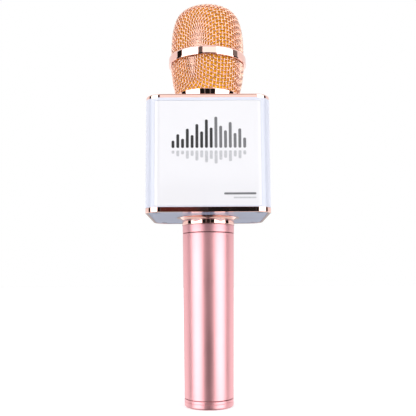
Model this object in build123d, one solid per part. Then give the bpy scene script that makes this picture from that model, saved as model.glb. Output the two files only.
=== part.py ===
from build123d import *
import math
import os

# Karaoke microphone: woven wire head, square speaker box, tapered tube handle.
# Frame: millimetres, +Z up the microphone's axis, origin at the centre of the
# handle's flat lower end. The plain front face looks along -Y, the key panel
# along +Y, and a loudspeaker looks out of each side, along -X and +X.

os.makedirs("parts", exist_ok=True)

# ---------------------------------------------------------------- handle
HANDLE_R0 = 13.70          # outside radius at the lower end
HANDLE_SLOPE = 0.0112      # growth of the radius per mm of height
TUBE_BORE_R = 12.60
END_RING_TOP = 4.50
SPIGOT_TOP = 9.0           # of the end ring
END_RING_BORE_R = 11.30
TUBE_BOTTOM = 4.78
TUBE_TOP = 96.55
UPPER_RING_BOTTOM = 96.85
UPPER_RING_TOP = 101.30
CHROME_RING_BOTTOM = 101.38
CHROME_RING_TOP = 104.35
CHROME_RING_R = 15.15
FLARE_BOTTOM = CHROME_RING_TOP + 0.04
FLARE_R_BOTTOM = 15.1
FLARE_R_TOP = 18.05
FLARE_TOP = 105.86
FLARE_RIM = 0.18           # height of the straight edge on top of the flare
SPIGOT_R = 12.50
CORE_BORE_R = 11.10
HANDLE_SCREW_CIRCLE_R = 17.6
USB_X, USB_Y = 4.6, 2.4
JACK_X, JACK_Y = -4.6, -3.9
CHARGE_LED_X, CHARGE_LED_Y = 7.2, -6.2

# ---------------------------------------------------------------- battery
CELL_R = 9.10              # 18650 cell
CELL_BOTTOM = 23.2
CELL_TOP = CELL_BOTTOM + 65.0
CARRIER_R = 10.9
CARRIER_END = 1.2          # thickness of the end walls
CARRIER_BOTTOM = CELL_BOTTOM - 2.6
CARRIER_TOP = CELL_TOP + 2.6

# ---------------------------------------------------------------- box
BOX_W = 68.0
BOX_R = 8.8                # radius of the vertical corners
BOX_BOTTOM = 105.70
SHELL_BOTTOM = 108.45
SHELL_TOP = 167.80
BOX_TOP = 170.00
WALL = 2.2
INNER_W = BOX_W - 2 * WALL
INNER_FACE = INNER_W / 2   # from the axis to a wall's inner face
CZ = 138.1                 # centre height of the loudspeakers and the key panel
PLATE_W = 64.6             # top and bottom plates inside their trims
TRIM_BORE_W = PLATE_W + 0.1
LIP_W = 63.4
LIP_IN_W = 60.0
FRONT_PANEL_HALF = 28.54   # half width; the panel's ends follow the box corners
FRONT_PANEL_BACK_Y = -33.04
COVER_SCREW_XY = 27.6      # corner screws of the bottom cover
WALL_CUT = (30, 36)        # distances from the axis that cut right through a wall

# ---------------------------------------------------------------- loudspeakers
GRILLE_R = 24.9
GRILLE_T = 0.9
GRILLE_HOLE_R = 1.1
GRILLE_PITCH = 3.5
GRILLE_FIELD_R = 20.6      # hole centres lie within this radius
SPK_OPEN_R = 23.0
SPK_SCREW_CIRCLE_R = 28.0

# ---------------------------------------------------------------- key panel
FACE_Y = BOX_W / 2
PANEL_W = 49.8
PANEL_BACK_Y = 32.8
KEY_FRONT_Y = FACE_Y + 0.9
KEY_GAP = 0.25             # around a key in its opening
KEY_FLANGE = 0.8           # how far a flange reaches past its key
KEY_REAR_Y = 31.5
FLANGE_FRONT_Y = 32.6
SWITCH_TOP_Y = 31.1
KEYBOARD_Y0, KEYBOARD_Y1 = 27.6, 28.8
KEYBOARD_HALF = 22.4
KEY_COLUMN_X = 13.5
TOP_ROW_Z = 155.4
PLAY_ROW_Z = 143.6
ROCKER_W, ROCKER_H = 8.6, 19.0
ROCKER_Z = 126.5
ROCKER_SWITCH_DZ = 7.0     # from the pivot to the switch at each end
DISH_R, DISH_DEPTH = 39.4, 0.5
PIVOT_Y = 31.6
ROCKER_FOOT_Y = 31.57      # leaves 0.045 mm over a plunger when a rocker is 3 degrees over
PIN_R = 0.80
PIN_CLEAR = 0.05

# ---------------------------------------------------------------- head
NECK_R = 15.92
COLLAR_BORE_R = 16.0
COLLAR_BOTTOM = 170.3
LEDGE_Z = 177.70
MESH_T = 0.9
HEAD_TOP = 233.5
LEAD_R = 0.4


# ================================================================ helpers
def pt(r, z):
    return Vector(r, 0, z)


def ring_profile(corners):
    """Closed outline in the XZ plane; a corner is (r, z) or (r, z, fillet)."""
    count = len(corners)
    stops = []             # where each corner's arc starts, its middle, where it ends
    for i, corner in enumerate(corners):
        here = pt(*corner[:2])
        if len(corner) == 2:
            stops.append((here, None, here))
            continue
        radius = corner[2]
        back = (pt(*corners[i - 1][:2]) - here).normalized()
        ahead = (pt(*corners[(i + 1) % count][:2]) - here).normalized()
        half = math.acos(back.dot(ahead)) / 2
        setback = radius / math.tan(half)
        middle = here + (back + ahead).normalized() * (radius / math.sin(half) - radius)
        stops.append((here + back * setback, middle, here + ahead * setback))
    edges = []
    for i, (start, middle, end) in enumerate(stops):
        if middle is not None:
            edges.append(ThreePointArc(start, middle, end))
        following = stops[(i + 1) % count][0]
        if (following - end).length > 1e-6:
            edges.append(Line(end, following))
    return edges


def turned_edges(edges):
    return revolve(make_face(edges), axis=Axis.Z, revolution_arc=360)


def turned(corners):
    return turned_edges(ring_profile(corners))


def rod(x, y, r, z0, z1):
    return Pos(x, y, (z0 + z1) / 2) * Cylinder(r, z1 - z0)


def rod_y(x, z, r, y0, y1):
    return Pos(x, (y0 + y1) / 2, z) * Rot(90, 0, 0) * Cylinder(r, y1 - y0)


def rod_x(y, z, r, x0, x1):
    return Pos((x0 + x1) / 2, y, z) * Rot(0, 90, 0) * Cylinder(r, x1 - x0)


def side_rod(side, y, z, r, near, far):
    """Rod along X on one side (-1 or 1), between two distances from the axis."""
    return rod_x(y, z, r, *sorted((side * near, side * far)))


def block(x0, x1, y0, y1, z0, z1):
    return Pos((x0 + x1) / 2, (y0 + y1) / 2, (z0 + z1) / 2) * Box(x1 - x0, y1 - y0, z1 - z0)


def box_prism(width, z0, z1):
    """Square prism whose rounded corners are concentric with the box's."""
    radius = BOX_R - (BOX_W - width) / 2
    return extrude(Plane.XY.offset(z0) * RectangleRounded(width, width, radius), amount=z1 - z0)


def rounded_y(x, z, w, h, r, y0, y1):
    """Rounded rectangle in the XZ plane, from y0 to y1."""
    plane = Plane(origin=(x, y0, z), x_dir=(1, 0, 0), z_dir=(0, 1, 0))
    return extrude(plane * RectangleRounded(w, h, r), amount=y1 - y0)


def four_corners(half_u, half_v, centre_v=0.0):
    return [(i * half_u, centre_v + j * half_v) for i in (-1, 1) for j in (-1, 1)]


def diagonals(radius, centre_v=0.0):
    """Four places on a circle, at 45 degrees to its axes."""
    angles = [math.radians(a) for a in (45, 135, 225, 315)]
    return [(radius * math.cos(a), centre_v + radius * math.sin(a)) for a in angles]


def save(name, *shapes):
    """Write all solids of the shapes to one STEP file."""
    solids = [solid for shape in shapes for solid in shape.solids()]
    piece = solids[0] if len(solids) == 1 else Compound(solids)
    piece.label = name
    export_step(piece, "parts/" + name + ".step")


def handle_r(z):
    return HANDLE_R0 + HANDLE_SLOPE * z


handle_screw_places = diagonals(HANDLE_SCREW_CIRCLE_R)
cover_screw_places = four_corners(COVER_SCREW_XY, COVER_SCREW_XY)
speaker_screw_places = diagonals(SPK_SCREW_CIRCLE_R, CZ)
post_places = four_corners(20.7, 20.6, CZ)
standoff_places = four_corners(18.5, 9.0, CZ)

# ================================================================ handle
# end ring: bright anodised ring with a spigot glued inside the tube
save("end_ring", turned([
    (END_RING_BORE_R, 0.0, 0.3), (handle_r(0), 0.0, 1.1), (handle_r(2.8), 2.80),
    (handle_r(2.8) - 0.14, 2.95), (handle_r(3.1), 3.10), (handle_r(4.4), END_RING_TOP, 0.18),
    (SPIGOT_R, END_RING_TOP), (SPIGOT_R, SPIGOT_TOP, 0.3), (END_RING_BORE_R, SPIGOT_TOP)]))


def usb_oblong(w, h, r, z, half):
    """Rounded block at the USB socket, reaching half above and below z."""
    return Pos(USB_X, USB_Y, z) * extrude(RectangleRounded(w, h, r), amount=half, both=True)


# end plug: plastic disc that closes the ring, open for the sockets and the charge light
plug = turned([(0.0, 0.5), (11.22, 0.5, 0.3), (11.22, 4.0), (0.0, 4.0)])
plug -= usb_oblong(7.8, 3.2, 0.9, 2, 10)
plug -= rod(JACK_X, JACK_Y, 3.05, -1, 5)
plug -= rod(CHARGE_LED_X, CHARGE_LED_Y, 0.75, -1, 5)
save("end_plug", plug)

# USB socket: hollow shell and tongue, on the +Y side of the charge board
usb_shell = usb_oblong(7.5, 2.9, 0.75, 3.8, 3.0)
usb_shell -= usb_oblong(7.0, 2.4, 0.55, 2.4, 3.7)
tongue = block(USB_X - 1.9, USB_X + 1.9, USB_Y - 0.35, USB_Y + 0.35, 1.6, 6.1)
save("usb_socket", usb_shell, tongue)

# audio jack, on the -Y side of the charge board
jack = block(JACK_X - 3.1, JACK_X + 3.1, JACK_Y - 3.0, JACK_Y + 3.2, 4.1, 17.0)
jack += rod(JACK_X, JACK_Y, 3.0, 0.9, 4.2)
jack -= rod(JACK_X, JACK_Y, 1.85, -1, 15.4)
save("audio_jack", jack)

# charge board: stands upright behind the plug, with components on both faces
save("charge_board",
     block(-9.6, 9.6, -0.6, 0.6, 4.2, 20.3),
     block(-6.5, -1.5, 0.62, 2.0, 10, 16), block(1.5, 6.5, 0.62, 1.6, 12, 17),
     block(2.0, 5.0, -1.9, -0.62, 9, 13), block(6.3, 8.2, -1.8, -0.62, 14, 18))

# battery carrier: trough open along -Y, with end walls; the cell lies inside it
carrier = turned([(9.35, CARRIER_BOTTOM), (CARRIER_R, CARRIER_BOTTOM),
                  (CARRIER_R, CARRIER_TOP), (9.35, CARRIER_TOP)])
carrier += rod(0, 0, CARRIER_R, CARRIER_BOTTOM, CARRIER_BOTTOM + CARRIER_END)
carrier += rod(0, 0, CARRIER_R, CARRIER_TOP - CARRIER_END, CARRIER_TOP)
carrier -= block(-12, 12, -12, -5.0, CARRIER_BOTTOM + CARRIER_END, CARRIER_TOP - CARRIER_END)
carrier -= rod(0, 6.0, 1.3, CARRIER_TOP - 2, CARRIER_TOP + 1)     # lead hole
save("battery_carrier", carrier)

save("battery_cell", turned([
    (0.0, CELL_BOTTOM), (CELL_R, CELL_BOTTOM, 0.5), (CELL_R, CELL_TOP - 1.0, 0.5),
    (2.9, CELL_TOP - 1.0), (2.9, CELL_TOP), (0.0, CELL_TOP)]))

# contacts: a plate with a hollow cone below the cell, one with a solid cone above
lower_contact = block(-4, 4, -3.5, 3.5, CELL_BOTTOM - 1.38, CELL_BOTTOM - 1.0) + turned([
    (2.2, CELL_BOTTOM - 1.0), (3.4, CELL_BOTTOM - 1.0),
    (2.4, CELL_BOTTOM - 0.02), (1.6, CELL_BOTTOM - 0.02)])
upper_contact = block(-4, 4, -3.5, 3.5, CELL_TOP + 1.0, CELL_TOP + 1.38) + turned([
    (0.0, CELL_TOP + 0.02), (1.8, CELL_TOP + 0.02), (2.4, CELL_TOP + 1.05), (0.0, CELL_TOP + 1.05)])
save("battery_contacts", lower_contact, upper_contact)

# main tube, upper ring and bright ring
save("handle_tube", turned([
    (TUBE_BORE_R, TUBE_BOTTOM), (handle_r(TUBE_BOTTOM), TUBE_BOTTOM, 0.18),
    (handle_r(TUBE_TOP), TUBE_TOP, 0.18), (TUBE_BORE_R, TUBE_TOP)]))
save("upper_ring", turned([
    (TUBE_BORE_R, UPPER_RING_BOTTOM), (handle_r(UPPER_RING_BOTTOM) + 0.04, UPPER_RING_BOTTOM, 0.18),
    (handle_r(UPPER_RING_TOP) + 0.08, UPPER_RING_TOP, 0.15), (TUBE_BORE_R, UPPER_RING_TOP)]))
save("chrome_ring", turned([
    (TUBE_BORE_R, CHROME_RING_BOTTOM), (CHROME_RING_R, CHROME_RING_BOTTOM, 0.3),
    (CHROME_RING_R, CHROME_RING_TOP, 0.08), (TUBE_BORE_R, CHROME_RING_TOP)]))

# flare: concave ring that meets the box
flare_start = pt(FLARE_R_BOTTOM, FLARE_BOTTOM)
flare_end = pt(FLARE_R_TOP, FLARE_TOP - FLARE_RIM)
save("handle_flare", turned_edges([
    Line(pt(TUBE_BORE_R, FLARE_BOTTOM), flare_start),
    ThreePointArc(flare_start, pt(15.95, CHROME_RING_TOP + 0.78), flare_end),
    Line(flare_end, pt(FLARE_R_TOP, FLARE_TOP)),
    Line(pt(FLARE_R_TOP, FLARE_TOP), pt(TUBE_BORE_R, FLARE_TOP)),
    Line(pt(TUBE_BORE_R, FLARE_TOP), pt(TUBE_BORE_R, FLARE_BOTTOM))]))

# core: plastic spigot through tube, rings and flare, with a flange screwed down inside the box
core = turned([
    (11.9, 94.2), (SPIGOT_R, 94.2), (SPIGOT_R, FLARE_TOP + 0.06), (14.8, FLARE_TOP + 0.06),
    (14.8, 110.5), (20.5, 110.5), (20.5, 112.5, 0.4), (CORE_BORE_R, 112.5), (CORE_BORE_R, 96.0)])
for x, y in handle_screw_places:
    core -= rod(x, y, 1.15, 110, 113)
save("handle_core", core)


def handle_screw(x, y):
    head = rod(x, y, 1.9, 112.55, 113.9) - Pos(x, y, 113.9) * Box(2.6, 0.5, 1.2)
    return rod(x, y, 0.9, 107.3, 112.6) + head


save("handle_screws", *[handle_screw(x, y) for x, y in handle_screw_places])

# ================================================================ box
# bottom cover: plate with a lip into the shell, a centre boss and four corner bosses
cover = box_prism(PLATE_W, 105.92, 108.40) + (
    box_prism(LIP_W, 108.35, 110.35) - box_prism(LIP_IN_W, 108.3, 111))
cover += rod(0, 0, 21.5, 108.3, 110.40)
for x, y in cover_screw_places:
    cover += rod(x, y, 4.0, 108.3, 110.35) & box_prism(LIP_W, 108.0, 111)
cover -= rod(0, 0, 14.9, 100, 112)
for x, y in cover_screw_places:
    cover -= rod(x, y, 1.15, 100, 112)
    cover -= rod(x, y, 2.15, 100, 107.25)      # counterbore
for x, y in handle_screw_places:
    cover -= rod(x, y, 0.95, 107.2, 112)
save("bottom_cover", cover)


def cover_screw(x, y):
    """Cross-slotted screw, head down."""
    screw = rod(x, y, 2.0, 106.05, 107.22) + rod(x, y, 0.95, 107.2, 115.2)
    screw -= Pos(x, y, 106.05) * Box(2.4, 0.5, 1.1)
    return screw - Pos(x, y, 106.05) * Box(0.5, 2.4, 1.1)


save("cover_screws", *[cover_screw(x, y) for x, y in cover_screw_places])

# trims: square frames around the bottom and top plates
trim = box_prism(BOX_W, BOX_BOTTOM, SHELL_BOTTOM - 0.03)
trim = fillet(trim.edges().group_by(Axis.Z)[0], 0.45)
trim = chamfer(trim.edges().group_by(Axis.Z)[-1], 0.12)
trim -= box_prism(TRIM_BORE_W, 100, 110)
save("bottom_trim", trim)

trim = box_prism(BOX_W - 0.3, SHELL_TOP + 0.03, BOX_TOP)
trim = fillet(trim.edges().group_by(Axis.Z)[-1], 0.9)
trim -= box_prism(TRIM_BORE_W, 160, 171)
save("top_trim", trim)

# top cover: plate with a lip down into the shell and a hole for the neck
cover = box_prism(PLATE_W, SHELL_TOP + 0.05, 169.6)
cover = fillet(cover.edges().group_by(Axis.Z)[-1], 0.25)
cover += (box_prism(LIP_W, 165.9, SHELL_TOP + 0.1)
          - box_prism(LIP_IN_W, 160, SHELL_TOP + 0.05))
cover -= rod(0, 0, NECK_R + 0.06, 160, 172)
save("top_cover", cover)

# shell: four walls with a front panel seat, loudspeaker openings, key opening, screw bosses
shell = box_prism(BOX_W, SHELL_BOTTOM, SHELL_TOP) - box_prism(INNER_W, 100, 175)
shell -= block(-FRONT_PANEL_HALF - 0.06, FRONT_PANEL_HALF + 0.06, -34.5, -33.0, 108.95, 166.15)
for side in (-1, 1):
    shell -= side_rod(side, 0, CZ, SPK_OPEN_R, *WALL_CUT)
    shell -= side_rod(side, 0, CZ, GRILLE_R + 0.1, 33.05, 36)     # grille seat
    for y, z in speaker_screw_places:
        shell -= side_rod(side, y, z, 0.95, 31.0, 33.3)
shell -= rounded_y(0, CZ, 46.8, 46.8, 2.0, *WALL_CUT)
shell -= rounded_y(0, CZ, PANEL_W + 0.2, PANEL_W + 0.2, 3.1, PANEL_BACK_Y - 0.03, 36)
for x, y in cover_screw_places:
    shell += rod(x, y, 4.4, 110.45, 118.0) & box_prism(BOX_W, 110, 119)
    shell -= rod(x, y, 1.0, 109, 116.0)
save("box_shell", shell)

# front panel: thin plate trimmed to the outline of the box
front = block(-FRONT_PANEL_HALF, FRONT_PANEL_HALF, -FACE_Y - 1, FRONT_PANEL_BACK_Y, 109.0, 166.1)
front &= box_prism(BOX_W, 100, 175)
front_edges = front.edges().filter_by(Axis.X).filter_by(lambda e: e.center().Y < 0.1 - FACE_Y)
save("front_panel", fillet(front_edges, 0.2))

# ================================================================ key panel and keys
# name, x, z, radius
round_keys = [
    ("power_button", KEY_COLUMN_X, TOP_ROW_Z, 3.5),
    ("mode_button", -KEY_COLUMN_X, TOP_ROW_Z, 3.5),
    ("play_button", 0.0, PLAY_ROW_Z, 5.0)]
# name, x, z, width, height
pad_keys = [
    ("previous_button", KEY_COLUMN_X, PLAY_ROW_Z, 8.6, 6.6),
    ("next_button", -KEY_COLUMN_X, PLAY_ROW_Z, 8.6, 6.6)]
# name, x
rockers = [
    ("mic_volume_rocker", KEY_COLUMN_X),
    ("echo_rocker", 0.0),
    ("music_volume_rocker", -KEY_COLUMN_X)]

# control panel: plate with key openings, rocker lugs and hollow posts behind it
panel = rounded_y(0, CZ, PANEL_W, PANEL_W, 3.0, PANEL_BACK_Y, FACE_Y)
panel = fillet(panel.edges().group_by(Axis.Y)[-1], 0.25)
for _, x, z, r in round_keys:
    panel -= rod_y(x, z, r + KEY_GAP, *WALL_CUT)
for _, x, z, w, h in pad_keys:
    panel -= rounded_y(x, z, w + 2 * KEY_GAP, h + 2 * KEY_GAP, 1.6, *WALL_CUT)
for _, x in rockers:
    panel -= rounded_y(x, ROCKER_Z, ROCKER_W + 2 * KEY_GAP, ROCKER_H + 0.7, 1.8, *WALL_CUT)
    for side in (-1, 1):
        lug_x = sorted((x + side * 4.75, x + side * 5.95))
        panel += block(*lug_x, 30.3, PANEL_BACK_Y + 0.2, ROCKER_Z - 1.5, ROCKER_Z + 1.5)
    panel -= rod_x(PIVOT_Y, ROCKER_Z, PIN_R, x - 6.5, x + 6.5)
panel -= rod_y(0, TOP_ROW_Z, 1.05, *WALL_CUT)                     # light pipe hole
for x, z in post_places:
    panel += rod_y(x, z, 1.6, KEYBOARD_Y1 + 0.03, PANEL_BACK_Y + 0.1)
    panel -= rod_y(x, z, 0.95, 20, 31.8)
save("control_panel", panel)


def push_key(cap, flange):
    """Cap with a rounded front edge, held behind the panel by its flange."""
    return fillet(cap.edges().group_by(Axis.Y)[-1], 0.45) + flange


def rocker(x):
    """Dished cap with a pivot block and a foot over each of its two switches."""
    cap = rounded_y(x, ROCKER_Z, ROCKER_W, ROCKER_H, 1.5, 32.3, KEY_FRONT_Y)
    cap -= rod_x(KEY_FRONT_Y + DISH_R - DISH_DEPTH, ROCKER_Z, DISH_R, x - 6, x + 6)
    cap = fillet(cap.edges().filter_by(lambda e: e.center().Y > 34.2), 0.35)
    cap += block(x - 4.0, x + 4.0, 30.7, 32.4, ROCKER_Z - 1.5, ROCKER_Z + 1.5)
    for end in (-1, 1):
        cap += rod_y(x, ROCKER_Z + end * ROCKER_SWITCH_DZ, 1.1, ROCKER_FOOT_Y, 32.4)
    return cap - rod_x(PIVOT_Y, ROCKER_Z, PIN_R + PIN_CLEAR, x - 6, x + 6)


for name, x, z, r in round_keys:
    save(name, push_key(rod_y(x, z, r, 32.0, KEY_FRONT_Y),
                        rod_y(x, z, r + KEY_FLANGE, KEY_REAR_Y, FLANGE_FRONT_Y)))
for name, x, z, w, h in pad_keys:
    save(name, push_key(rounded_y(x, z, w, h, 1.4, 32.0, KEY_FRONT_Y),
                        rounded_y(x, z, w + 2 * KEY_FLANGE, h + 2 * KEY_FLANGE, 2.0,
                                  KEY_REAR_Y, FLANGE_FRONT_Y)))
for name, x in rockers:
    save(name, rocker(x))
save("rocker_pins", *[rod_x(PIVOT_Y, ROCKER_Z, PIN_R, x - 5.9, x + 5.9) for _, x in rockers])
save("light_pipe", rod_y(0, TOP_ROW_Z, 1.0, 30.4, FACE_Y + 0.1)
     + rod_y(0, TOP_ROW_Z, 1.7, 30.4, 31.4))

# key board behind the panel, with a switch for each key and rocker end
key_board = block(-KEYBOARD_HALF, KEYBOARD_HALF, KEYBOARD_Y0, KEYBOARD_Y1,
                  CZ - KEYBOARD_HALF, CZ + KEYBOARD_HALF)
for x, z in post_places:
    key_board -= rod_y(x, z, 1.1, 20, 31)
save("key_board", key_board)

PART_Y = KEYBOARD_Y1 + 0.02    # rear of the parts mounted on the key board
switch_places = [key[1:3] for key in round_keys + pad_keys]
switch_places += [(x, ROCKER_Z + end * ROCKER_SWITCH_DZ) for _, x in rockers for end in (-1, 1)]
save("tact_switches", *[
    block(x - 2.25, x + 2.25, PART_Y, 30.4, z - 2.25, z + 2.25)
    + rod_y(x, z, 1.1, 30.3, SWITCH_TOP_Y) for x, z in switch_places])

# one light behind the light pipe, one in the end plug
save("status_leds", block(-1.0, 1.0, PART_Y, 30.2, 154.7, 156.1),
     rod(CHARGE_LED_X, CHARGE_LED_Y, 0.7, 0.7, 5.4))

save("key_board_screws", *[
    (rod_y(x, z, 1.8, 26.3, KEYBOARD_Y0 - 0.02) + rod_y(x, z, 0.9, 27.5, 31.6))
    - Pos(x, 26.3, z) * Box(2.6, 1.0, 0.5) for x, z in post_places])

# ================================================================ main board
# it stands between the loudspeakers, on standoffs from the key board
save("board_standoffs", *[rod_y(x, z, 2.0, 20.62, KEYBOARD_Y0 - 0.02) for x, z in standoff_places])
MOUNT_Y = 18.98                # the components' mounting face
save("main_board",
     block(-21.5, 21.5, 19.0, 20.6, 116.0, 160.5),
     block(-10.5, 3.5, 16.6, MOUNT_Y, 139.0, 157.0),              # radio module
     block(5.0, 12.0, 17.2, MOUNT_Y, 141.0, 150.0),               # amplifier
     block(-9.0, -2.0, 17.4, MOUNT_Y, 128.0, 135.0),              # sound processor
     rod_y(5.0, 131.0, 3.2, 10.5, MOUNT_Y),                       # capacitor
     rod_y(-6.0, 121.5, 3.2, 10.5, MOUNT_Y),                      # capacitor
     block(6.5, 12.5, 15.0, MOUNT_Y, 118.5, 124.5),               # choke
     block(-3.4, 3.4, 14.8, MOUNT_Y, 158.2, 160.4),               # capsule plug
     block(-0.5, 5.0, 15.0, MOUNT_Y, 116.2, 119.0))               # battery plug

# ================================================================ loudspeakers
# sections: (radius, distance inward from the wall's inner face[, fillet])
BASKET_OPENING = [(0, -1), (21.65, -1), (21.65, 2), (0, 2)]
BASKET = [
    (21.65, 0.02), (23.6, 0.02), (23.6, 1.6), (13.0, 11.0), (13.0, 12.0),
    (6.2, 12.0), (6.2, 11.1), (12.2, 11.1), (12.2, 10.4), (21.65, 2.4)]
SURROUND = [
    (18.75, 1.55), (18.75, 1.15), (19.4, 0.55, 0.3), (20.6, 0.55, 0.3), (21.25, 1.15), (21.6, 1.15),
    (21.6, 1.55), (21.1, 1.55), (20.5, 0.95), (19.5, 0.95), (19.0, 1.55)]
CONE = [
    (18.55, 1.0), (18.55, 1.5), (5.9, 7.6), (5.35, 7.9), (5.35, 12.9),
    (5.0, 12.9), (5.0, 7.2), (0.0, 5.6), (0.0, 5.2), (5.2, 6.8), (5.7, 7.0)]
MAGNET = [
    (0, 10.6), (4.4, 10.6, 0.2), (4.4, 17.0), (6.0, 17.0), (6.0, 12.06),
    (11.5, 12.06), (11.5, 18.0, 0.3), (0, 18.0)]


def inward(section, side):
    """Section turned about the loudspeaker's axis."""
    return Pos(side * INNER_FACE, 0, CZ) * Rot(0, -90 * side, 0) * turned(section)


def side_prism(sketch, side, near, far):
    """Sketch extruded between two distances inward from the wall's inner face."""
    plane = Plane(origin=(side * (INNER_FACE - near), 0, CZ), x_dir=(0, 1, 0), z_dir=(-side, 0, 0))
    return extrude(plane * sketch, amount=far - near)


def hex_spots(r_max, pitch):
    """Points of a hexagonal grid within r_max of its centre."""
    spots = []
    reach = int(r_max / pitch) + 2
    for row in range(-reach, reach + 1):
        for column in range(-reach, reach + 1):
            u = (column + 0.5 * (row % 2)) * pitch
            v = row * pitch * math.sqrt(3) / 2
            if math.hypot(u, v) <= r_max:
                spots.append((u, v))
    return spots


def grille(side):
    holes = [Pos(u, v) * Circle(GRILLE_HOLE_R) for u, v in hex_spots(GRILLE_FIELD_R, GRILLE_PITCH)]
    plane = Plane(origin=(side * (FACE_Y - GRILLE_T), 0, CZ), x_dir=(0, 1, 0), z_dir=(side, 0, 0))
    return extrude(plane * (Circle(GRILLE_R) - holes), amount=GRILLE_T)


def speaker_basket(side):
    """Flange and tapered frame with four windows and four screw holes."""
    flange = Rectangle(50, 50) & Circle(30.6)
    basket = side_prism(flange, side, 0.02, 1.2) - inward(BASKET_OPENING, side)
    basket += inward(BASKET, side)
    for angle in (0, 90, 180, 270):
        window = Rot(0, 0, angle) * Pos(17.5, 0, 0) * Rectangle(7, 10)
        basket -= side_prism(window, side, 3.0, 10.0)
    for y, z in speaker_screw_places:
        basket -= side_rod(side, y, z, 1.0, 29.0, 33.0)
    return basket


for side_name, side in (("left", -1), ("right", 1)):
    save(side_name + "_grille", grille(side))
    save(side_name + "_speaker_basket", speaker_basket(side))
    save(side_name + "_speaker_surround", inward(SURROUND, side))
    save(side_name + "_speaker_cone", inward(CONE, side))
    save(side_name + "_speaker_magnet", inward(MAGNET, side))

save("speaker_screws", *[
    side_rod(side, y, z, 1.9, 29.3, 30.58) + side_rod(side, y, z, 0.9, 30.5, 33.1)
    for side in (-1, 1) for y, z in speaker_screw_places])

# ================================================================ neck, capsule and its mount
save("mic_neck", turned([
    (13.4, 165.7), (21.0, 165.7, 0.3), (21.0, SHELL_TOP, 0.2), (NECK_R, SHELL_TOP),
    (NECK_R, 176.5, 0.4), (13.4, 176.5)]))
save("capsule_cradle", turned([
    (11.6, 168.0), (13.35, 168.0), (13.35, 176.9), (12.0, 178.0), (12.0, 188.0), (10.6, 188.0),
    (10.6, 180.0), (2.2, 180.0), (2.2, 178.4), (11.6, 178.4)]))
save("capsule_mount", turned([
    (3.0, 180.04), (10.5, 180.04), (10.5, 188.04), (12.0, 188.04), (12.0, 189.4, 0.5),
    (9.05, 189.4), (9.05, 181.0), (3.0, 181.0)]))
save("mic_capsule", turned([
    (0.0, 181.02), (9.0, 181.02, 0.3), (9.0, 191.0, 0.6), (7.6, 191.0), (7.6, 191.6, 0.4),
    (0.0, 191.6)]))


# ================================================================ wiring
def lead(*points):
    """Round wire along a smooth curve through the points."""
    path = Spline(*points)
    return sweep(Plane(origin=path @ 0, z_dir=path % 0) * Circle(LEAD_R), path=path)


capsule_leads = [
    lead((x, 0, 180.95), (x, 0, 176), (x, 1.5, 170), (x, 9, 163.2), (x, 14.1, 159.4))
    for x in (-0.9, 0.9)]
cell_lead = lead(              # cell to main board
    (0.0, 6.0, CELL_TOP + 1.45), (0.0, 6.2, 95), (0.2, 6.8, 104), (0.4, 7.6, 110),
    (0.7, 9.4, 114.6), (0.8, 14.3, 118.2))
charge_lead = lead(            # charge board to main board
    (8.3, 1.2, 14.4), (10.4, 1.5, 17.0), (11.6, 1.6, 21.0), (11.66, 1.6, 26), (11.66, 1.6, 50),
    (11.66, 1.6, 74), (11.66, 1.6, 86), (11.6, 1.6, 89.6), (11.2, 1.7, 91.8), (10.5, 1.8, 93.8),
    (9.2, 2.4, 96.6), (7.2, 4.4, 103), (5.0, 6.8, 110), (3.6, 9.4, 114.8), (2.9, 14.3, 118.2))
speaker_leads = [
    lead((side * 18.2, 12.4, z - 3), (side * 16.2, 14.0, z - 4),
         (side * 14.8, 16.4, z - 4.5), (side * 14.5, 18.8, z - 5))
    for side in (-1, 1) for z in (CZ - 1.2, CZ + 1.2)]
save("wiring_harness", *capsule_leads, cell_lead, charge_lead, *speaker_leads)

# ================================================================ screw-off head
save("head_collar", turned([
    (COLLAR_BORE_R, COLLAR_BOTTOM), (17.7, COLLAR_BOTTOM, 0.3), (19.40, LEDGE_Z - 0.25, 0.1),
    (19.40, LEDGE_Z - 0.05, 0.06), (18.12, LEDGE_Z - 0.05), (18.12, 180.6, 0.2), (17.2, 180.6),
    (17.2, 178.95), (14.5, 178.95), (14.5, 177.42), (COLLAR_BORE_R, 177.42)]))
save("head_seal", turned([
    (14.3, 176.55), (15.85, 176.55, 0.3), (15.85, 177.37, 0.3), (14.3, 177.37)]))
save("head_band", turned([
    (22.0, 196.55), (22.85, 196.55, 0.2), (23.05, 197.2, 0.5), (23.05, 200.8, 0.5),
    (22.5, 201.7, 0.25), (22.0, 201.7), (22.0, 199.45), (20.75, 199.45), (20.75, 197.5),
    (22.0, 197.5)]))

# curves of the head: (radius, z), from the bottom up
LOWER_MESH = [
    (19.10, LEDGE_Z), (19.62, 181.0), (20.45, 184.5), (21.05, 188.0), (21.50, 191.5),
    (21.80, 195.0), (21.85, 197.4)]
UPPER_MESH = [
    (21.75, 199.55), (21.78, 203.0), (21.78, 206.0), (21.70, 209.5), (21.45, 213.4),
    (20.95, 217.5), (20.20, 221.0), (19.45, 223.6), (18.45, 225.8), (16.95, 227.85),
    (14.80, 229.65), (11.20, 231.45), (6.20, 232.90), (0.0, HEAD_TOP)]
FOAM_OUTER = [
    (17.95, 180.75), (18.75, 184.5), (19.45, 188.0), (19.95, 192.0), (20.25, 196.5),
    (20.35, 204.0), (20.2, 210.0), (19.75, 215.0), (18.9, 219.5), (17.4, 223.5),
    (14.6, 227.0), (10.5, 229.5), (5.5, 231.2), (0.0, 231.9)]
FOAM_INNER = [
    (15.5, 180.75), (16.5, 186.0), (17.3, 194.0), (17.6, 204.0), (17.2, 212.0),
    (15.8, 218.5), (12.6, 223.8), (7.5, 227.8), (0.0, 229.6)]


def curve(points, **options):
    return Spline(*[pt(*p) for p in points], **options)


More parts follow.
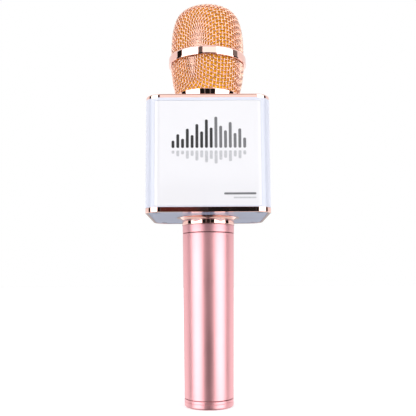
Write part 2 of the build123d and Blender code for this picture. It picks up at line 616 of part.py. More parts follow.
def between(outer, inner, outer_points, inner_points):
    """Turned skin between two curves, closed by straight lines at their ends."""
    return turned_edges([
        outer, Line(pt(*outer_points[-1]), pt(*inner_points[-1])),
        inner, Line(pt(*inner_points[0]), pt(*outer_points[0]))])


def offset_points(edge, distance, count):
    """Points on an upward-running curve, moved towards the axis side."""
    points = []
    for i in range(count):
        u = i / (count - 1)
        place, tangent = edge @ u, edge % u
        points.append((place.X - tangent.Z * distance, place.Z + tangent.X * distance))
    return points


# lower mesh: side wall of the head below the band
lower_inner = [(r - MESH_T, z) for r, z in LOWER_MESH]
save("lower_mesh", between(curve(LOWER_MESH), curve(lower_inner), LOWER_MESH, lower_inner))

# upper mesh: dome of even thickness; its end points are set exactly
DOME_ENDS = [(0, 0, 1), (-1, 0, 0)]
dome = curve(UPPER_MESH, tangents=DOME_ENDS)
dome_inner = offset_points(dome, MESH_T, 26)
dome_inner[0] = (UPPER_MESH[0][0] - MESH_T, UPPER_MESH[0][1])
dome_inner[-1] = (0.0, HEAD_TOP - MESH_T)
save("upper_mesh", between(dome, curve(dome_inner, tangents=DOME_ENDS), UPPER_MESH, dome_inner))

# foam lining inside both meshes
FOAM_ENDS = [(0.2, 0, 1), (-1, 0, 0)]
save("head_foam", between(curve(FOAM_OUTER, tangents=FOAM_ENDS),
                          curve(FOAM_INNER, tangents=FOAM_ENDS), FOAM_OUTER, FOAM_INNER))
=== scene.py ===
# A hand-held microphone with a speaker box. Its axis is Z, with the woven wire head on top.
# The front panel faces -Y, toward the camera, and the keys face +Y. Lengths are in millimetres
# unless noted and are scaled to metres when a mesh is made.
import math
from functools import reduce
from itertools import product

import bpy
import bmesh
import numpy as np
from mathutils import Matrix


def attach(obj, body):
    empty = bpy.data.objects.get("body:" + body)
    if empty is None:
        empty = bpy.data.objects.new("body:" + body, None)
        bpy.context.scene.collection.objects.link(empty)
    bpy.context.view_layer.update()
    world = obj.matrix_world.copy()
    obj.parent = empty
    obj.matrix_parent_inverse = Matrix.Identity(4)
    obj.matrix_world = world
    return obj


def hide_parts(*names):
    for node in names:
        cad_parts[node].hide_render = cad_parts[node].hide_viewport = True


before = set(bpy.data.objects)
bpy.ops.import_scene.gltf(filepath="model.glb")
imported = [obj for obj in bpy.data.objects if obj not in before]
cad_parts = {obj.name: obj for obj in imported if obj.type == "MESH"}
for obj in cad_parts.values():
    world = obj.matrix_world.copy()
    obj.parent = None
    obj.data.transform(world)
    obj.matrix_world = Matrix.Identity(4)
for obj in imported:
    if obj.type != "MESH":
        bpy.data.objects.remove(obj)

MM = 0.001
scene = bpy.context.scene
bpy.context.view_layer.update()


# ------------------------------------------------------------------ node helpers
class NodeGraph:
    """Builds nodes in one tree. An input may be a number, a tuple or the socket that feeds it."""

    def __init__(self, tree):
        self.tree = tree
        tree.nodes.clear()

    def feed(self, socket, value):
        if isinstance(value, bpy.types.NodeSocket):
            self.tree.links.new(value, socket)
        else:
            socket.default_value = value

    def node(self, kind, inputs=None, **settings):
        node = self.tree.nodes.new(kind)
        for key, value in settings.items():
            setattr(node, key, value)
        for key, value in (inputs or {}).items():
            self.feed(node.inputs[key], value)
        return node

    def math(self, operation, *values):
        inputs = dict(enumerate(values))
        return self.node("ShaderNodeMath", inputs, operation=operation).outputs[0]

    def add(self, *values):
        return reduce(lambda a, b: self.math("ADD", a, b), values)

    def mul(self, *values):
        return reduce(lambda a, b: self.math("MULTIPLY", a, b), values)


class Surface(NodeGraph):
    """A Principled material whose textures use object coordinates."""

    SOCKETS = {
        "color": "Base Color", "metal": "Metallic", "rough": "Roughness", "ior": "IOR",
        "coat": "Coat Weight", "coat_rough": "Coat Roughness", "sheen": "Sheen Weight",
        "transmission": "Transmission Weight", "emission": "Emission Color",
        "emission_strength": "Emission Strength", "spec": "Specular IOR Level",
    }

    def __init__(self, name):
        self.material = bpy.data.materials.new(name)
        self.material.use_nodes = True
        super().__init__(self.material.node_tree)
        output = self.node("ShaderNodeOutputMaterial")
        self.bsdf = self.node("ShaderNodeBsdfPrincipled")
        self.feed(output.inputs["Surface"], self.bsdf.outputs[0])
        self.coord = self.node("ShaderNodeTexCoord").outputs["Object"]
        self.normal = None

    def set(self, **looks):
        for key, value in looks.items():
            if isinstance(value, tuple):
                value = (*value, 1.0)
            self.feed(self.bsdf.inputs[self.SOCKETS[key]], value)

    def noise(self, scale, detail=3.0, rough=0.6, stretch=None):
        vector = self.coord
        if stretch:
            mapping = self.node("ShaderNodeMapping", {"Scale": stretch, "Vector": self.coord})
            vector = mapping.outputs[0]
        inputs = {"Scale": scale, "Detail": detail, "Roughness": rough, "Vector": vector}
        return self.node("ShaderNodeTexNoise", inputs).outputs["Fac"]

    def voronoi(self, scale):
        inputs = {"Scale": scale, "Vector": self.coord}
        return self.node("ShaderNodeTexVoronoi", inputs).outputs["Distance"]

    def wave(self, scale, direction, distortion, detail):
        inputs = {"Scale": scale, "Distortion": distortion, "Detail": detail,
                  "Vector": self.coord}
        return self.node("ShaderNodeTexWave", inputs, bands_direction=direction).outputs["Fac"]

    def remap(self, value, low, high, start=0.3, end=0.7):
        """Map start..end of a texture to low..high."""
        inputs = {"From Min": start, "From Max": end, "To Min": low, "To Max": high,
                  "Value": value}
        return self.node("ShaderNodeMapRange", inputs).outputs[0]

    def ramp(self, factor, stops):
        """Color ramp from (position, color) stops."""
        node = self.node("ShaderNodeValToRGB", {0: factor})
        elements = node.color_ramp.elements
        while len(elements) > 1:
            elements.remove(elements[-1])
        elements[0].position = stops[0][0]
        elements[0].color = (*stops[0][1], 1)
        for position, color in stops[1:]:
            elements.new(position).color = (*color, 1)
        return node.outputs[0]

    def two_tone(self, factor, color, dark, light=1.0, start=0.3):
        """The color scaled by dark to light across a texture."""
        return self.ramp(factor, [(start, tint(color, dark)), (0.7, tint(color, light))])

    def bump(self, height, strength, distance):
        """Add a bump (distance in metres) on top of any earlier one."""
        inputs = {"Strength": strength, "Distance": distance, "Height": height}
        if self.normal is not None:
            inputs["Normal"] = self.normal
        self.normal = self.node("ShaderNodeBump", inputs).outputs[0]
        self.feed(self.bsdf.inputs["Normal"], self.normal)


def tint(color, factor):
    return tuple(max(0.0, min(1.0, x * factor)) for x in color)


# ------------------------------------------------------------------ material kinds
def chrome(name, color, rough=0.035, smudge=0.06):
    g = Surface(name)
    cloud = g.noise(scale=55, detail=4)
    hair = g.noise(scale=900, detail=2, rough=0.5, stretch=(1, 1, 0.08))
    smudges = g.remap(cloud, low=rough, high=rough + smudge, start=0.45, end=0.75)
    hairlines = g.remap(hair, low=0.0, high=0.03, start=0.55, end=0.8)
    g.set(metal=1.0, color=g.two_tone(cloud, color, dark=0.965), rough=g.add(smudges, hairlines))
    g.bump(g.noise(scale=160, detail=2, rough=0.5), strength=0.02, distance=0.0004)
    return g.material


def anodised(name, color, rough=0.40):
    g = Surface(name)
    cloud = g.noise(scale=38)
    grit = g.noise(scale=5200, detail=2)
    lines = g.noise(scale=420, rough=0.7, stretch=(0.015, 0.015, 1.0))
    # mottling is mostly cloud, with some of the turned lines
    mottle = g.add(g.mul(cloud, 0.7), g.mul(lines, 0.3))
    g.set(metal=1.0, color=g.two_tone(mottle, color, dark=0.955),
          rough=g.add(g.remap(cloud, low=rough - 0.02, high=rough + 0.03),
                      g.remap(grit, low=-0.02, high=0.02)))
    g.bump(grit, strength=0.10, distance=0.00004)
    g.bump(lines, strength=0.10, distance=0.00006)
    return g.material


def plastic(name, color, rough, grain_bump=0.12, variation=0.03):
    g = Surface(name)
    cloud = g.noise(scale=40)
    grain = g.noise(scale=2600, detail=2)
    g.set(color=g.two_tone(cloud, color, dark=1.0 - variation), spec=0.5,
          rough=g.add(g.remap(cloud, low=rough * 0.9, high=rough * 1.12),
                      g.remap(grain, low=-0.015, high=0.015)))
    g.bump(grain, strength=grain_bump, distance=0.00005)
    return g.material


def gloss(name, color, rough, peel=0.05, variation=0.02):
    g = Surface(name)
    cloud = g.noise(scale=30)
    g.set(color=g.two_tone(cloud, color, dark=1.0 - variation),
          rough=g.remap(cloud, low=rough, high=rough + 0.05, start=0.35, end=0.75),
          coat=0.12, coat_rough=0.03)
    g.bump(g.noise(scale=240, detail=2, rough=0.5), strength=peel, distance=0.00008)
    return g.material


def bare_metal(name, color, rough, brushed=None):
    g = Surface(name)
    cloud = g.noise(scale=60, detail=4)
    hair = g.noise(scale=900, stretch=brushed)
    g.set(metal=1.0, color=g.two_tone(cloud, color, dark=1.0 - 0.08),
          rough=g.add(g.remap(cloud, low=rough - 0.04, high=rough + 0.05),
                      g.remap(hair, low=-0.04, high=0.04)))
    g.bump(hair, strength=0.12, distance=0.00005)
    return g.material


def painted_metal(name, color, rough):
    g = Surface(name)
    flake = g.voronoi(scale=6000)
    cloud = g.noise(scale=50)
    # mottling is a mix of cloud and paint flake
    mottle = g.add(g.mul(cloud, 0.6), g.mul(flake, 0.4))
    g.set(metal=0.55, color=g.two_tone(mottle, color, dark=0.9, start=0.2),
          rough=g.remap(cloud, low=rough - 0.03, high=rough + 0.04), coat=0.15, coat_rough=0.15)
    g.bump(g.noise(scale=3200, detail=2), strength=0.12, distance=0.00005)
    return g.material


def rubber(name, color):
    g = Surface(name)
    cloud = g.noise(scale=70, detail=4)
    g.set(color=g.two_tone(cloud, color, dark=0.8, light=1.5),
          rough=g.remap(cloud, low=0.6, high=0.78))
    g.bump(g.noise(scale=2400), strength=0.2, distance=0.00008)
    return g.material


def open_foam(name, color):
    g = Surface(name)
    cells = g.voronoi(scale=1500)
    lumps = g.noise(scale=420, detail=4)
    # cells dominate the shade; a faint glow stands in for light scattered inside the foam
    shade = g.add(g.mul(cells, 0.8), g.mul(lumps, 0.4))
    stops = [(0.15, tint(color, 0.62)), (0.45, color), (0.8, tint(color, 1.18))]
    g.set(color=g.ramp(shade, stops), rough=0.92, sheen=0.05, spec=0.1,
          emission=(1.0, 0.46, 0.03), emission_strength=0.13)
    g.bump(cells, strength=0.55, distance=0.0004)
    g.bump(lumps, strength=0.4, distance=0.0006)
    return g.material


def circuit_board(name):
    g = Surface(name)
    tracks_x = g.wave(scale=260, direction="X", distortion=6, detail=2)
    tracks_z = g.wave(scale=300, direction="Z", distortion=5, detail=2)
    cells = g.voronoi(scale=260)
    # thresholds set how much of the board is track and how large the pads are
    track = g.math("GREATER_THAN", g.mul(tracks_x, tracks_z), 0.42)
    pad = g.math("LESS_THAN", cells, 0.12)
    lacquer = g.ramp(track, [(0.0, (0.012, 0.075, 0.030)), (1.0, (0.020, 0.125, 0.050))])
    pad_color = (0.60, 0.48, 0.28, 1)
    color = g.node("ShaderNodeMix", {"Factor": pad, "A": lacquer, "B": pad_color},
                   data_type="RGBA").outputs["Result"]
    g.set(color=color, metal=g.mul(pad, 0.9), rough=0.32, coat=0.25, coat_rough=0.15)
    g.bump(g.add(track, pad), strength=0.25, distance=0.00006)
    return g.material


def clear_lens(name, color):
    g = Surface(name)
    cloud = g.noise(scale=800, detail=2, rough=0.5)
    g.set(color=color, rough=g.remap(cloud, low=0.12, high=0.22), ior=1.49, transmission=0.7)
    g.bump(cloud, strength=0.05, distance=0.0001)
    return g.material


def ink(name, color, rough=0.32):
    g = Surface(name)
    mottle = g.noise(scale=1400)
    g.set(color=g.two_tone(mottle, color, dark=0.85, light=1.1),
          rough=g.remap(mottle, low=rough - 0.04, high=rough + 0.06), coat=0.15, coat_rough=0.1)
    g.bump(mottle, strength=0.05, distance=0.00003)
    return g.material


# ------------------------------------------------------------------ the finishes
FINISH = {
    "wire": bare_metal("woven_wire_rose", (0.885, 0.565, 0.45), rough=0.29),
    "chrome": chrome("rose_gold_chrome", (0.96, 0.61, 0.54)),
    "anodised": anodised("pink_anodised", (0.88, 0.45, 0.48)),
    "shell": gloss("white_shell_gloss", (0.70, 0.725, 0.84), rough=0.09),
    "panel": gloss("front_panel_gloss", (0.796, 0.79, 0.822), rough=0.045, peel=0.02,
                   variation=0.008),
    "cover": gloss("cover_white_gloss", (0.80, 0.82, 0.88), rough=0.12),
    # the bottom cover is white plastic; its dark blue-grey colour is painted shade for the
    # shadowed underside
    "grey": plastic("bottom_cover_painted_shade", (0.285, 0.327, 0.464), rough=0.33, grain_bump=0.18),
    "key": gloss("key_white_gloss", (0.88, 0.88, 0.90), rough=0.12),
    "panel_rose": painted_metal("control_panel_rose", (0.80, 0.47, 0.43), rough=0.36),
    "grille": painted_metal("grille_rose", (0.78, 0.46, 0.42), rough=0.42),
    "foam": open_foam("amber_foam", (0.90, 0.43, 0.012)),
    "black": plastic("black_moulded", (0.018, 0.018, 0.020), rough=0.42, variation=0.2),
    "board": circuit_board("circuit_board"),
    "steel": bare_metal("zinc_steel", (0.62, 0.62, 0.64), rough=0.28, brushed=(1, 1, 0.1)),
    "brass": bare_metal("turned_brass", (0.78, 0.58, 0.28), rough=0.24),
    "rubber": rubber("soft_rubber", (0.02, 0.02, 0.021)),
    "cone": rubber("pressed_cone", (0.03, 0.028, 0.027)),
    "wrap": gloss("cell_wrap", (0.05, 0.22, 0.50), rough=0.22, peel=0.12, variation=0.12),
    "sleeve": plastic("wire_sleeve", (0.50, 0.03, 0.03), rough=0.45, variation=0.15),
    "lens": clear_lens("clear_lens", (0.9, 0.95, 1.0)),
    "ink_black": ink("ink_black", (0.016, 0.016, 0.018)),
    "ink_grey": ink("ink_grey", (0.16, 0.16, 0.17)),
    "ink_light": ink("ink_light", (0.52, 0.52, 0.55)),
}

# finish: the pieces that wear it
PIECES = {
    "chrome": "head_band head_collar top_trim bottom_trim chrome_ring handle_flare",
    "anodised": "handle_tube upper_ring end_ring",
    "shell": "box_shell",
    "panel": "front_panel",
    "cover": "top_cover",
    "grey": "bottom_cover",
    "panel_rose": "control_panel",
    "key": "power_button mode_button play_button previous_button next_button "
           "mic_volume_rocker echo_rocker music_volume_rocker",
    "grille": "left_grille right_grille",
    "black": "handle_core end_plug battery_carrier capsule_cradle mic_neck audio_jack "
             "tact_switches",
    "steel": "left_speaker_basket right_speaker_basket left_speaker_magnet "
             "right_speaker_magnet usb_socket mic_capsule rocker_pins cover_screws "
             "handle_screws key_board_screws speaker_screws",
    "brass": "battery_contacts board_standoffs",
    "cone": "left_speaker_cone right_speaker_cone",
    "rubber": "left_speaker_surround right_speaker_surround head_seal capsule_mount",
    "board": "main_board key_board charge_board",
    "wrap": "battery_cell",
    "sleeve": "wiring_harness",
    "lens": "light_pipe status_leds",
    "wire": "upper_mesh lower_mesh",
    "foam": "head_foam",
}
for finish, pieces in PIECES.items():
    for piece in pieces.split():
        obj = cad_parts[piece]
        if not obj.material_slots:
            obj.data.materials.append(None)
        for material_slot in obj.material_slots:
            material_slot.material = FINISH[finish]


# ------------------------------------------------------------------ mesh helpers
def add_object(name, mesh, finish, body):
    mesh.materials.append(FINISH[finish])
    obj = bpy.data.objects.new(name, mesh)
    scene.collection.objects.link(obj)
    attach(obj, body)
    return obj


def smooth_object(name, verts, faces, finish, body):
    mesh = bpy.data.meshes.new(name)
    mesh.from_pydata([tuple(v) for v in verts * MM], [], faces)
    mesh.validate()
    mesh.polygons.foreach_set("use_smooth", [True] * len(mesh.polygons))
    return add_object(name, mesh, finish, body)


def clamped_spline(stations, start_direction, end_direction, count):
    """Cubic spline through (radius, z) stations with given end directions, as count points."""
    points = np.array(stations, float)
    chord = np.hypot(*(points[1:] - points[:-1]).T)
    knots = np.concatenate([[0], np.cumsum(chord)])
    size = len(points)
    matrix = np.zeros((size, size))
    target = np.zeros((size, 2))
    matrix[0, 0] = matrix[-1, -1] = 1
    target[0], target[-1] = start_direction, end_direction
    for i in range(1, size - 1):
        before, after = chord[i - 1], chord[i]
        matrix[i, i - 1 : i + 2] = after, 2 * (before + after), before
        target[i] = 3 * (after * (points[i] - points[i - 1]) / before
                         + before * (points[i + 1] - points[i]) / after)
    slopes = np.linalg.solve(matrix, target)
    along = np.linspace(0, knots[-1], count)
    span = np.clip(np.searchsorted(knots, along, side="right") - 1, 0, size - 2)
    x = ((along - knots[span]) / chord[span])[:, None]
    width = chord[span][:, None]
    return ((2 * x**3 - 3 * x**2 + 1) * points[span]
            + (x**3 - 2 * x**2 + x) * width * slopes[span]
            + (-2 * x**3 + 3 * x**2) * points[span + 1]
            + (x**3 - x**2) * width * slopes[span + 1])


class Section:
    """A (radius, z) curve from the pole, moved in by inset and read by its arc length."""

    def __init__(self, points, inset):
        tangent = np.gradient(points, axis=0)
        tangent /= np.hypot(tangent[:, 0], tangent[:, 1])[:, None]
        normal = np.stack([-tangent[:, 1], tangent[:, 0]], 1)
        if normal[len(normal) // 2, 0] < 0:     # turn the normals outward
            normal = -normal
        self.points = points - normal * inset
        self.normals = normal
        chord = np.hypot(*(self.points[1:] - self.points[:-1]).T)
        self.arcs = np.concatenate([[0], np.cumsum(chord)])
        self.length = self.arcs[-1]

    def at(self, arc):
        """Radius, z and unit normal (radial, z) at an arc length."""
        radius, z, normal_r, normal_z = (
            np.interp(arc, self.arcs, column)
            for column in (*self.points.T, *self.normals.T))
        size = np.hypot(normal_r, normal_z)
        return radius, z, normal_r / size, normal_z / size

    def place(self, angle, arc, lift=0.0):
        """Points lifted off the turned surface, and the surface normals there."""
        radius, z, normal_r, normal_z = self.at(arc)
        c, s = np.cos(angle), np.sin(angle)
        out = radius + normal_r * lift
        points = np.stack([out * c, out * s, z + normal_z * lift], -1)
        return points, np.stack([normal_r * c, normal_r * s, normal_z], -1)


# ------------------------------------------------------------------ woven wire head
# Both wire shells are drawn cups: a flat square weave pressed over a former. The wires keep
# their length, so the weave stays square along four lines and shears into narrow diamonds
# between them.
WIRE_RADIUS = 0.30
WIRE_SIDES = 8
WEAVE_LIFT = 0.295             # how far a wire swings out and in at each crossing
PITCH = 2.10
STEPS_PER_PITCH = 3            # points per pitch along a wire
EDGE = PITCH / STEPS_PER_PITCH
SECTION_POINTS = 2400
MIN_RUN = 4                    # shortest wire kept, in points
MIN_END = 0.12                 # shortest cut end kept, as a part of EDGE

# solver tuning
SOLVER_STEPS = 30
SOLVER_DELTA = 1e-5            # arc step for the numerical slope
SOLVER_TOLERANCE = 1e-5
MIN_DETERMINANT = 1e-12
MAX_MOVE = 0.3 * EDGE
MIN_TURN_RADIUS = 0.5          # keeps angle moves small near the pole

# radius, z from the lower rim up to the pole
DOME_STATIONS = [
    (21.75, 199.55), (21.78, 203.0), (21.78, 206.0), (21.70, 209.5), (21.45, 213.4),
    (20.95, 217.5), (20.20, 221.0), (19.45, 223.6), (18.45, 225.8), (16.95, 227.85),
    (14.80, 229.65), (11.20, 231.45), (6.20, 232.90), (0.0, 233.5),
]
# radius, z from the lower rim of the skirt up
SKIRT_STATIONS = [
    (19.10, 177.70), (19.62, 181.0), (20.45, 184.5), (21.05, 188.0), (21.50, 191.5),
    (21.80, 195.0), (21.85, 197.4),
]
CUP_FLOOR_DEPTH = 3.0          # the skirt's weave starts on a shallow floor that is cut away
CUP_FLOOR_STEPS = 8


class WireTubes:
    """Collects round wires into one mesh."""

    def __init__(self):
        self.rings = []
        self.faces = []
        self.count = 0

    def add(self, points, normals):
        tangent = np.gradient(points, axis=0)
        tangent /= np.linalg.norm(tangent, axis=1)[:, None]
        up = normals - (normals * tangent).sum(1)[:, None] * tangent
        up /= np.linalg.norm(up, axis=1)[:, None]
        side = np.cross(tangent, up)
        turn = ((np.arange(WIRE_SIDES) + 0.5) * 2 * np.pi / WIRE_SIDES)[None, :, None]
        rings = points[:, None, :] + WIRE_RADIUS * (np.cos(turn) * up[:, None, :]
                                                    + np.sin(turn) * side[:, None, :])
        self.rings.append(rings.reshape(-1, 3))
        ring = self.count + np.arange(len(points) - 1)[:, None] * WIRE_SIDES
        j = np.arange(WIRE_SIDES)[None, :]
        j_next = (j + 1) % WIRE_SIDES
        quads = [ring + j, ring + j_next, ring + WIRE_SIDES + j_next, ring + WIRE_SIDES + j]
        self.faces.extend(np.stack(quads, -1).reshape(-1, 4).tolist())
        start_cap = list(range(self.count, self.count + WIRE_SIDES))
        self.count += len(points) * WIRE_SIDES
        self.faces.append(start_cap[::-1])
        self.faces.append(list(range(self.count - WIRE_SIDES, self.count)))


def draw_net(section, count):
    """Angle and arc length of the weave nodes (i, j) in one quadrant, from the pole outward.

    Neighbouring nodes are EDGE apart. Nodes that do not fit on the cup are NaN."""
    angles = np.full((count, count), np.nan)
    arcs = angles.copy()
    nodes = np.full((count, count, 3), np.nan)
    angles[:, 0] = 0.0
    angles[0, :] = math.pi / 2
    arcs[:, 0] = arcs[0, :] = np.arange(count) * EDGE
    nodes[:, 0] = section.place(angles[:, 0], arcs[:, 0])[0]
    nodes[0, :] = section.place(angles[0, :], arcs[0, :])[0]

    for diagonal in range(2, 2 * count - 1):
        i = np.arange(max(1, diagonal - count + 1), min(count, diagonal))
        j = diagonal - i
        near_i, near_j = nodes[i - 1, j], nodes[i, j - 1]
        guess = near_i + near_j - nodes[i - 1, j - 1]
        angle = np.arctan2(guess[:, 1], guess[:, 0])
        arc = arcs[i - 1, j] + arcs[i, j - 1] - arcs[i - 1, j - 1]
        # Newton steps until the node is one edge from both neighbours
        for _ in range(SOLVER_STEPS):
            here = section.place(angle, arc)[0]
            miss_i = ((here - near_i) ** 2).sum(1) - EDGE**2
            miss_j = ((here - near_j) ** 2).sum(1) - EDGE**2
            by_arc = (section.place(angle, arc + SOLVER_DELTA)[0] - here) / SOLVER_DELTA
            radius = section.at(arc)[0]
            by_angle = np.stack([-radius * np.sin(angle), radius * np.cos(angle), 0 * angle], -1)
            i_angle = 2 * ((here - near_i) * by_angle).sum(1)
            i_arc = 2 * ((here - near_i) * by_arc).sum(1)
            j_angle = 2 * ((here - near_j) * by_angle).sum(1)
            j_arc = 2 * ((here - near_j) * by_arc).sum(1)
            det = i_angle * j_arc - i_arc * j_angle
            det = np.where(np.abs(det) < MIN_DETERMINANT, MIN_DETERMINANT, det)
            max_turn = MAX_MOVE / np.maximum(radius, MIN_TURN_RADIUS)
            turn = (miss_i * j_arc - miss_j * i_arc) / det
            move = (i_angle * miss_j - j_angle * miss_i) / det
            angle = angle - np.clip(turn, -max_turn, max_turn)
            arc = arc - np.clip(move, -MAX_MOVE, MAX_MOVE)
        good = (np.abs(miss_i) + np.abs(miss_j) < SOLVER_TOLERANCE) & (arc < section.length)
        i, j, angle, arc = i[good], j[good], angle[good], arc[good]
        angles[i, j] = angle
        arcs[i, j] = arc
        nodes[i, j] = section.place(angle, arc)[0]
    return angles, arcs


def cut_end(wire, heights, end, beyond, z_low, z_high):
    """The wire's point and normal at the cut height past its end, or none if not wanted."""
    if 0 <= beyond < len(heights) and not np.isnan(heights[beyond]):
        cut = z_low if heights[beyond] < z_low else z_high
        part = (cut - heights[end]) / (heights[beyond] - heights[end])
        if MIN_END < part <= 1:
            return wire[:, [end]] + (wire[:, [beyond]] - wire[:, [end]]) * part
    return wire[:, :0]


def woven_cup(name, section, twist, z_low, z_high, node):
    count = int(section.length / EDGE) + 1
    angles, arcs = draw_net(section, count)
    last = (count - 1) // STEPS_PER_PITCH
    swing = np.cos(np.pi * (np.arange(-(count - 1), count) / STEPS_PER_PITCH))
    tubes = WireTubes()
    for i in range(-last, last + 1):
        row = abs(i) * STEPS_PER_PITCH
        # mirror the quadrant's row to get the whole wire
        angle = np.concatenate([-angles[row, :0:-1], angles[row]])
        arc = np.concatenate([arcs[row, :0:-1], arcs[row]])
        if i < 0:
            angle = math.pi - angle
        heights = section.at(arc)[1]
        inside = (heights >= z_low) & (heights <= z_high)
        runs = np.flatnonzero(np.diff(np.pad(inside.astype(int), 1))).reshape(-1, 2)
        for family in (0, 1):
            turned = (angle if family == 0 else math.pi / 2 - angle) + twist
            sign = 1 if (i + family) % 2 == 0 else -1
            wire = np.stack(section.place(turned, arc, WEAVE_LIFT * sign * swing))
            for start, stop in runs:
                if stop - start < MIN_RUN:
                    continue
                head = cut_end(wire, heights, start, start - 1, z_low, z_high)
                tail = cut_end(wire, heights, stop - 1, stop, z_low, z_high)
                tubes.add(*np.concatenate([head, wire[:, start:stop], tail], axis=1))
    obj = smooth_object(name, np.concatenate(tubes.rings), tubes.faces, "wire", "head")
    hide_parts(node)


def build_wire_head():
    dome_curve = clamped_spline(DOME_STATIONS, (0, 1), (-1, 0), SECTION_POINTS)[::-1]
    dome = Section(dome_curve, inset=WIRE_RADIUS + WEAVE_LIFT + 0.08)
    woven_cup("upper_wire_weave", dome, twist=math.radians(30), z_low=199.6, z_high=240.0,
              node="upper_mesh")

    rim_radius, rim_z = SKIRT_STATIONS[0]
    cup_floor = []
    for k in range(CUP_FLOOR_STEPS):
        a = math.pi * k / (2 * CUP_FLOOR_STEPS)
        cup_floor.append((rim_radius * math.sin(a), rim_z - CUP_FLOOR_DEPTH * math.cos(a)))
    skirt_curve = clamped_spline(cup_floor + SKIRT_STATIONS, (1, 0), (0, 1), SECTION_POINTS)
    skirt = Section(skirt_curve, inset=WIRE_RADIUS + WEAVE_LIFT + 0.03)
    woven_cup("lower_wire_weave", skirt, twist=math.radians(21), z_low=177.35, z_high=197.6,
              node="lower_mesh")


build_wire_head()

# ------------------------------------------------------------------ foam liner inside the wire
# radius, z from the lower rim up to the pole
FOAM_OUTER = [
    (18.36, 177.75), (18.40, 179.4), (18.60, 182.0), (18.95, 184.7), (19.45, 188.0),
    (20.05, 192.0), (20.3, 196.5), (20.35, 204.0), (20.3, 209.5), (20.0, 214.0),
    (19.35, 218.5), (18.2, 222.5), (15.9, 226.3), (12.2, 229.0), (6.5, 231.2), (0.0, 231.9),
]
FOAM_INNER = [
    (15.5, 180.75), (16.5, 186.0), (17.3, 194.0), (17.6, 204.0), (17.2, 212.0),
    (15.8, 218.5), (12.6, 223.8), (7.5, 227.8), (0.0, 229.6),
]
FOAM_RECESS_RADIUS = 18.16     # straight step inside the lower rim
FOAM_SEGMENTS = 240
FOAM_ROUGHNESS = 0.10
# cell size, offset, seed and weight of each noise layer
FOAM_NOISE = [(1.3, 31.7, 5, 0.6), (0.6, 11.3, 6, 0.4)]


def lattice_noise(points, seed):
    """Smooth value noise from -1 to 1 on a unit lattice that repeats every 64 cells."""
    lattice = np.random.default_rng(seed).uniform(-1, 1, (64, 64, 64))
    cell = np.floor(points).astype(int)
    t = points - cell
    t = t * t * (3 - 2 * t)
    total = 0
    for corner in product((0, 1), repeat=3):
        x, y, z = np.where(corner, t, 1 - t).T
        total = total + x * y * z * lattice[tuple(((cell + corner) % 64).T)]
    return total


def roughen_foam(verts):
    """Offsets that push points out sideways, and upward as well near the top."""
    noise = sum(weight * lattice_noise(verts / size + offset, seed)
                for size, offset, seed, weight in FOAM_NOISE)
    radius = np.maximum(np.hypot(verts[:, 0], verts[:, 1]), 1e-6)
    fade_radius = 12           # the sideways push fades out inside this radius
    push = np.stack([verts[:, 0] / radius, verts[:, 1] / radius, np.zeros(len(verts))], 1)
    push *= np.minimum(1, radius / fade_radius)[:, None]
    lift_start, lift_range = 205, 25
    push[:, 2] = np.clip((verts[:, 2] - lift_start) / lift_range, 0, 1)
    return push * (noise * FOAM_ROUGHNESS)[:, None]


def build_foam():
    outer = clamped_spline(FOAM_OUTER, (0.02, 1.0), (-1, 0), 160)
    inner = np.concatenate([
        clamped_spline(FOAM_INNER, (0.2, 0.98), (-1, 0), 60)[::-1],
        [(FOAM_RECESS_RADIUS, FOAM_INNER[0][1]), (FOAM_RECESS_RADIUS, FOAM_OUTER[0][1])]])
    around = [(k, (k + 1) % FOAM_SEGMENTS) for k in range(FOAM_SEGMENTS)]
    turns = [2 * math.pi * k / FOAM_SEGMENTS for k in range(FOAM_SEGMENTS)]

    def rings(profile):
        return [(r * math.cos(a), r * math.sin(a), z) for r, z in profile for a in turns]

    def bands(starts):
        return [(low + k, low + k_next, high + k_next, high + k)
                for low, high in zip(starts[:-1], starts[1:]) for k, k_next in around]

    verts = rings(outer[:-1])
    outer_pole = len(verts)
    inner_pole = outer_pole + 1
    verts += [(0, 0, outer[-1][1]), (0, 0, inner[0][1])]
    verts = np.array(verts + rings(inner[1:]))
    outer_starts = range(0, outer_pole, FOAM_SEGMENTS)
    inner_starts = range(inner_pole + 1, len(verts), FOAM_SEGMENTS)
    top, under = outer_starts[-1], inner_starts[0]
    faces = (bands(outer_starts)
             + [(top + k, top + k_next, outer_pole) for k, k_next in around]
             + [(inner_pole, under + k_next, under + k) for k, k_next in around]
             + bands(inner_starts)
             + bands([inner_starts[-1], outer_starts[0]]))
    offsets = roughen_foam(verts)
    offsets[inner_pole:] = 0   # only the outer skin is rough
    obj = smooth_object("foam_liner", verts + offsets, faces, "foam", "head")
    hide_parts("head_foam")


build_foam()

# ------------------------------------------------------------------ printed marks in raised ink
# face y and outward direction along Y
FRONT_FACE = (-34.0, -1)
KEY_FACE = (34.9, 1)
INK_THICKNESS = 0.03
INK_SINK = 0.01                # how far the ink reaches into its face


def rounded_bar(width, height, radius):
    steps = 6
    right, top = width / 2 - radius, height / 2 - radius
    points = []
    for x, z, start in ((right, top, 0), (-right, top, 90),
                        (-right, -top, 180), (right, -top, 270)):
        for k in range(steps + 1):
            a = math.radians(start + 90 * k / steps)
            points.append((x + radius * math.cos(a), z + radius * math.sin(a)))
    return points


def arc_band(inner, outer, start, end, steps=24):
    """Part of a flat ring between two angles in degrees."""
    turns = [math.radians(start + (end - start) * k / steps) for k in range(steps + 1)]
    return ([(outer * math.cos(a), outer * math.sin(a)) for a in turns]
            + [(inner * math.cos(a), inner * math.sin(a)) for a in reversed(turns)])


def triangle(width, height, tip):
    """Triangle with its tip toward +X (tip=1) or -X (tip=-1)."""
    return [(-tip * width / 2, height / 2), (-tip * width / 2, -height / 2),
            (tip * width / 2, 0)]


